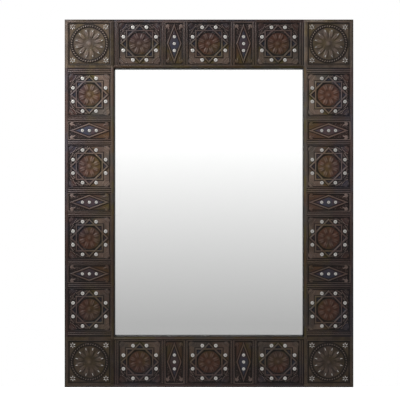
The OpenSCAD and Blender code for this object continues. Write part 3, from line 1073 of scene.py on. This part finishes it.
def makeLeather():
    v, amount, reach = leatherLook, leatherAmount, leatherReach
    material, tree, shader, place = newMaterial("tooledLeather")

    def kept(name, output="Fac"):
        return put(tree, "Attribute", {"attribute_name": name}).outputs[output]

    zones = use(frameZones, Place=place)
    high, corner = zones["High"], zones["Corner"]
    kind, hatch = kept("kind"), kept("hatch")
    shifted = put(tree, "Mapping", Vector=place, Location=v.shift).outputs[0]
    dye = patchy(place, *v.dyePatches)
    stain = patchy(shifted, *v.stainPatches)
    mottled = patchy(shifted, *v.mottlePatches)
    cool = plus(product(dye, amount.dye), product(kept("teal"), amount.teal), True)
    cool = product(cool, opposite(corner, amount.cornerCool))
    warm = plus(product(stain, amount.stain), product(kept("rust"), amount.rust), True)
    warm = product(warm, opposite(corner, amount.cornerWarm))
    ground = product(opposite(kindFrom(kind, "star")), opposite(corner), zones["Between"])
    ground = product(ground, fade(high, *reach.ground))
    depth = plus(product(corner, amount.cornerMottle), amount.mottle)
    seed = fade(high, *reach.seed)
    sunk = product(hatch, opposite(seed))
    marks = use(stipple, Place=place, Scale=v.stipple)
    lines = use(panelLines, Spot=kept("spot", "Vector"), Kind=kind, Reach=v.lineReach)[0]
    lines = product(lines, fade(high, *reach.lines))
    bend = put(tree, "NewGeometry").outputs["Pointiness"]
    formed = fade(high, *reach.formed)
    # Painted shade in the creases where the surface bends in, together with the antique dye that gathers
    # there.
    crease = product(fade(bend, *reach.crease), formed)
    ridge = product(fade(bend, *reach.ridge), formed)
    # Each sheet is darkened by its own amount, and a painted shade darkens the frame towards the bottom.
    sheetDarkAndLowShade = plus(kept("patina"), product(zones["Low"], amount.low), True)
    # Dark edge dye along the frame's outside and round the opening, and painted shade on the lip.
    edgeDyeAndLipShade = most(product(zones["Rim"], amount.rim), product(zones["Lip"], amount.lip))
    skin = use(leatherGrain, Place=place, Pebble=v.pebble)

    tone = blendOf(zones["Face"], v.turned, v.umber)
    for mask, colour in (
            (zones["Inner"], v.olive),
            (corner, v.corner),
            (product(corner, stain, amount.cornerOlive), v.olive),
            (cool, v.teal),
            (warm, v.rust),
            (product(kept("pale"), opposite(dye, amount.paleDyed), amount.pale), v.pale),
            (product(ground, amount.ground), v.dark),
            (product(mottled, zones["Face"], depth), v.dark),
            (product(fade(high, *reach.crest), amount.crest), v.worn),
            (product(hatch, seed, amount.seed), v.worn),
            (product(sunk, amount.sunk), v.dirt),
            (product(marks["Flecks"], sunk, amount.flecks), v.worn),
            (product(lines, amount.lines), v.dirt),
            (product(ridge, amount.ridge), v.worn),
            (product(crease, amount.crease), v.dirt),
            (sheetDarkAndLowShade, v.grime),
            (edgeDyeAndLipShade, v.dirt),
            (product(skin["Pores"], amount.pores), v.dark)):
        mode = "MULTIPLY" if colour == v.grime else "MIX"
        tone = blendOf(mask, tone, colour, mode)

    rough = plus(v.rough, product(skin["Pores"], amount.poreRough))
    rough = plus(rough, product(sunk, amount.sunkRough))
    rough = less(rough, product(ridge, amount.ridgePolish), True)
    height = less(product(skin["Height"], amount.pebbles), product(marks["Pits"], sunk))
    surfaced(
        shader, height, v.bump,
        Base_Color=tone, Roughness=rough, Specular_IOR_Level=v.specular)
    return material


silverLook = Values(
    paint=linear(172, 169, 165),
    worn=linear(104, 100, 96),
    foot=linear(40, 36, 33),
    wear=(420.0, 0.12),  # scale and spread
    wearAmount=0.35,
    footReach=(1.26 * mm, 1.0 * mm),  # above the plain leather
    rough=(0.38, 0.6),
    metallic=0.35,
    grain=1400.0,
    bump=0.08 * mm,
)


def makeSilverPaint():
    v = silverLook
    material, tree, shader, place = newMaterial("silverPaint")
    x, y, z = put(tree, "SeparateXYZ", Vector=place).outputs
    worn = patchy(place, *v.wear)
    tone = blendOf(product(worn, v.wearAmount), v.paint, v.worn)
    high = less(leatherY, y)
    covered = put(tree, "Attribute", {"attribute_name": "covered"}).outputs["Fac"]
    foot = product(fade(high, *v.footReach), opposite(covered))
    tone = blendOf(foot, tone, v.foot)
    rough = fade(worn, 0.0, 1.0, *v.rough)
    surfaced(
        shader, noise(place, v.grain), v.bump,
        Base_Color=tone, Roughness=rough, Metallic=v.metallic)
    return material


woodLook = Values(
    rings=0.75,  # how strongly each effect shows
    clouds=0.25,
    fibres=0.3,
    knots=0.8,
    cloudPatches=(9.0, 0.2),  # scale and spread
    fibreReach=(0.45, 0.75),
    knotTone=linear(112, 70, 38),
    rough=(0.5, 0.7),
    bump=0.06 * mm,
)


def makeWood(name, light, dark, scale, turn=(0, 0, 0), knots=1.0):
    v = woodLook
    material, tree, shader, place = newMaterial(name)
    lengthwise = put(tree, "Mapping", Vector=place, Rotation=turn)
    grain = use(woodGrain, Place=lengthwise.outputs[0], Scale=scale, Knots=knots)
    tone = light
    for mask, amount, colour in (
            (grain["Rings"], v.rings, dark),
            (patchy(place, *v.cloudPatches), v.clouds, dark),
            (fade(grain["Fibre"], *v.fibreReach), v.fibres, dark),
            (grain["Knot"], v.knots, v.knotTone)):
        tone = blendOf(product(mask, amount), tone, colour)
    rough = fade(grain["Fibre"], 0.0, 1.0, *v.rough)
    height = plus(grain["Rings"], grain["Fibre"])
    surfaced(shader, height, v.bump, Base_Color=tone, Roughness=rough)
    return material


metalForm = Values(
    spread=0.15,
    stretch=(1.0, 1.0, 14.0),
    finer=4,  # the scratches' scale against the patches'
    lines=(3.0, 0.6),  # detail and roughness
    reach=(0.3, 0.7),
    bump=0.02 * mm,
)


def makeMetal(name, bright, dull, low, high, scale):
    v = metalForm
    material, tree, shader, place = newMaterial(name)
    scratch = put(tree, "Mapping", Vector=place, Scale=v.stretch)
    lines = noise(scratch.outputs[0], scale * v.finer, *v.lines)
    tone = blendOf(patchy(place, scale, v.spread), bright, dull)
    rough = fade(lines, *v.reach, low, high)
    surfaced(shader, lines, v.bump, Base_Color=tone, Roughness=rough, Metallic=1.0)
    return material


softForm = Values(
    toneReach=(0.35, 0.65),
    stains=(14.0, 0.2),  # scale and spread
    stain=linear(90, 62, 40),
)


def makeSoft(name, light, dark, cells, rough, depth, stained=0.0):  # rubber, foam and pressed fibre
    v = softForm
    material, tree, shader, place = newMaterial(name)
    cells = noise(place, *cells)
    tone = blendOf(fade(cells, *v.toneReach), dark, light)
    if stained:
        stains = patchy(place, *v.stains)
        tone = blendOf(product(stains, stained), tone, v.stain)
    surfaced(shader, cells, depth, Base_Color=tone, Roughness=fade(cells, *rough))
    return material


def dress(obj, material):
    if not obj.material_slots:
        obj.data.materials.append(material)
    for slotNow in obj.material_slots:
        slotNow.material = material


leather = makeLeather()
silverPaint = makeSilverPaint()
for cover, dots in dressed.values():
    dress(cover, leather)
    dress(dots, silverPaint)
dress(mirrorPane, makePlain(
    "clearGlass", Base_Color=(1, 1, 1, 1), Transmission_Weight=1.0, IOR=1.5, Roughness=0.0))
silverCoat = makePlain("mirrorSilver", Base_Color=(0.97, 0.975, 0.97, 1), Metallic=1.0, Roughness=0.0)

pine = (linear(216, 182, 134), linear(178, 132, 82), 75.0)  # light, dark and scale
pineUp = makeWood("pineUpright", *pine, (0, pi / 2, 0))
pineAcross = makeWood("pineAcross", *pine)
beech = makeWood("beech", linear(206, 172, 132), linear(178, 140, 100), 120.0, knots=0.0)

metals = {  # bright and dull colour, least and greatest roughness, and scale
    "zincSteel": (linear(186, 188, 190), linear(150, 153, 157), 0.22, 0.42, 160.0),
    "screwSteel": (linear(172, 172, 168), linear(120, 118, 112), 0.25, 0.45, 300.0),
    "brass": (linear(186, 150, 84), linear(124, 94, 50), 0.25, 0.5, 300.0),
}
zinc, screwSteel, brass = [makeMetal(name, *look) for name, look in metals.items()]

cells, fibres = (4.0, 0.6), (6.0, 0.75)  # detail and roughness of their noise
softs = {  # light and dark colour, noise from its scale on, roughness, depth and how stained
    "blackRubber": (
        linear(44, 44, 45), linear(28, 28, 29), (500.0, *cells), (0.3, 0.7, 0.55, 0.8), 0.05 * mm),
    "greyRubber": (
        linear(96, 97, 98), linear(76, 77, 78), (500.0, *cells), (0.3, 0.7, 0.6, 0.8), 0.05 * mm),
    "whiteFoam": (
        linear(236, 236, 232), linear(208, 208, 204), (700.0, *cells), (0.3, 0.7, 0.8, 0.95), 0.2 * mm),
    "hardboard": (
        linear(140, 104, 71), linear(110, 79, 53), (520.0, *fibres), (0.2, 0.8, 0.5, 0.75),
        0.15 * mm, 0.25),
}
rubber, padRubber, foam, hardboard = [makeSoft(name, *look) for name, look in softs.items()]

zincNodes = ["left_hanger_strap", "right_hanger_strap", "left_hanging_ring", "right_hanging_ring"]
zincNodes += [name for name in cadNodes if name.startswith("turn_button_") and "screws" not in name]
for material, names in (
        (pineUp, ("left_stile", "right_stile")),
        (pineAcross, ("top_rail", "bottom_rail")),
        (beech, ("corner_dowels",)),
        (brass, ("turnover_tacks",)),
        (silverCoat, ("silver_coat",)),
        (padRubber, ("glass_edge_pads",)),
        (foam, ("foam_sheet",)),
        (hardboard, ("backing_board",)),
        (zinc, zincNodes),
        (screwSteel, ("turn_button_screws", "hanger_screws", "bumper_screws")),
        (rubber, ("wall_bumpers",))):
    for name in names:
        dress(cadNodes[name], material)
print("materials set")


# Floor, lights, world and camera

stageSet = Values(
    floorZ=-0.7,
    floorFront=-1.45,
    floorBack=1.6,
    floorHalf=1.9,
    floorTone=(0.8, 0.8, 0.8, 1),
    floorRough=0.9,
    glow=0.4,  # evens the floor out to the background, in the camera's eye alone
)


def makeFloor():
    v = stageSet
    bpy.ops.mesh.primitive_plane_add(size=1)
    floor = shaped(
        (0, (v.floorBack + v.floorFront) / 2, v.floorZ), (2 * v.floorHalf, v.floorBack - v.floorFront, 1))
    floor.name = "floor"
    material = makePlain("paleFloor", Base_Color=v.floorTone, Roughness=v.floorRough)
    tree = material.node_tree
    path = put(tree, "LightPath").outputs["Is Camera Ray"]
    glow = put(tree, "Emission", Color=(1, 1, 1, 1), Strength=product(path, v.glow)).outputs[0]
    both = put(tree, "AddShader")
    feedRow(both.inputs, tree.nodes["Principled BSDF"].outputs[0], glow)
    feedAll(tree.nodes["Material Output"], Surface=both.outputs[0])
    dress(floor, material)


makeFloor()

studio = Values(
    low=(-7.0, 176),  # elevation in degrees and screen brightness of the mirrored room
    high=(3.0, 255),
    stops=10,
    glassLoss=1.06,  # makes up for what the glass takes away
    soft=0.10,  # the light from all round
)


def makeWorld():
    v = studio
    world = bpy.data.worlds.new("studio")
    bpy.context.scene.world = world
    world.use_nodes = True
    tree = world.node_tree
    soft, out = tree.nodes["Background"], tree.nodes["World Output"]
    feedAll(soft, Color=(1, 1, 1, 1), Strength=v.soft)
    path = put(tree, "LightPath")
    direction = put(tree, "SeparateXYZ", Vector=put(tree, "TexCoord").outputs["Generated"])
    (lowAngle, lowLevel), (highAngle, highLevel) = v.low, v.high
    along = put(
        tree, "MapRange", Value=direction.outputs[2],
        From_Min=sin(radians(lowAngle)), From_Max=sin(radians(highAngle)))
    ramp = put(tree, "ValToRGB", Fac=along.outputs[0])
    stops = ramp.color_ramp.elements
    last = v.stops - 1
    for i in range(v.stops):  # even steps of screen brightness
        share = i / last
        stop = stops[0] if i == 0 else stops[-1] if i == last else stops.new(share)
        stop.position = share
        level = lowLevel + share * (highLevel - lowLevel)
        stop.color = linear(level, level, level)
    seen = put(tree, "Background", Color=ramp.outputs[0], Strength=v.glassLoss)
    white = put(tree, "Background", Color=(1, 1, 1, 1), Strength=1.0)
    mirrored = most(path.outputs["Is Glossy Ray"], path.outputs["Is Transmission Ray"])
    first, second = put(tree, "MixShader"), put(tree, "MixShader")
    for mixer, mask, a, b in (
            (first, mirrored, soft, seen), (second, path.outputs["Is Camera Ray"], first, white)):
        feedRow(mixer.inputs, mask, a.outputs[0], b.outputs[0])
    feedAll(out, Surface=second.outputs[0])


makeWorld()

lamps = {  # place, size and power
    "key": ((-0.95, -0.7, 1.05), 0.6, 38.0),
    "fill": ((2.2, -1.6, 0.3), 1.4, 3.0),
    "side": ((2.4, 0.5, 0.7), 1.2, 45.0),
    "back": ((-0.8, 1.8, 1.0), 1.4, 45.0),
}
softOnly = ("side", "back")  # these light the back and sides without a bright spot in the gloss


def makeLamps():
    for name, (place, size, power) in lamps.items():
        bpy.ops.object.light_add(type="AREA", location=place)
        lamp = active()
        lamp.name = name
        lamp.data.size = size
        lamp.data.energy = power
        lamp.visible_glossy = name not in softOnly
        lamp.rotation_euler = (-Vector(place)).to_track_quat("-Z", "Y").to_euler()


makeLamps()

cameraSet = Values(place=(-0.0196, -2.227, 0.0074), lens=91.2, sensor=36)


def makeCamera():
    bpy.ops.object.camera_add(location=cameraSet.place, rotation=(pi / 2, 0, 0))
    camera = active()
    camera.data.sensor_width = cameraSet.sensor
    camera.data.lens = cameraSet.lens
    bpy.context.scene.camera = camera


makeCamera()
bpy.context.scene.view_settings.view_transform = "Standard"
print("floor, lamps and camera set")
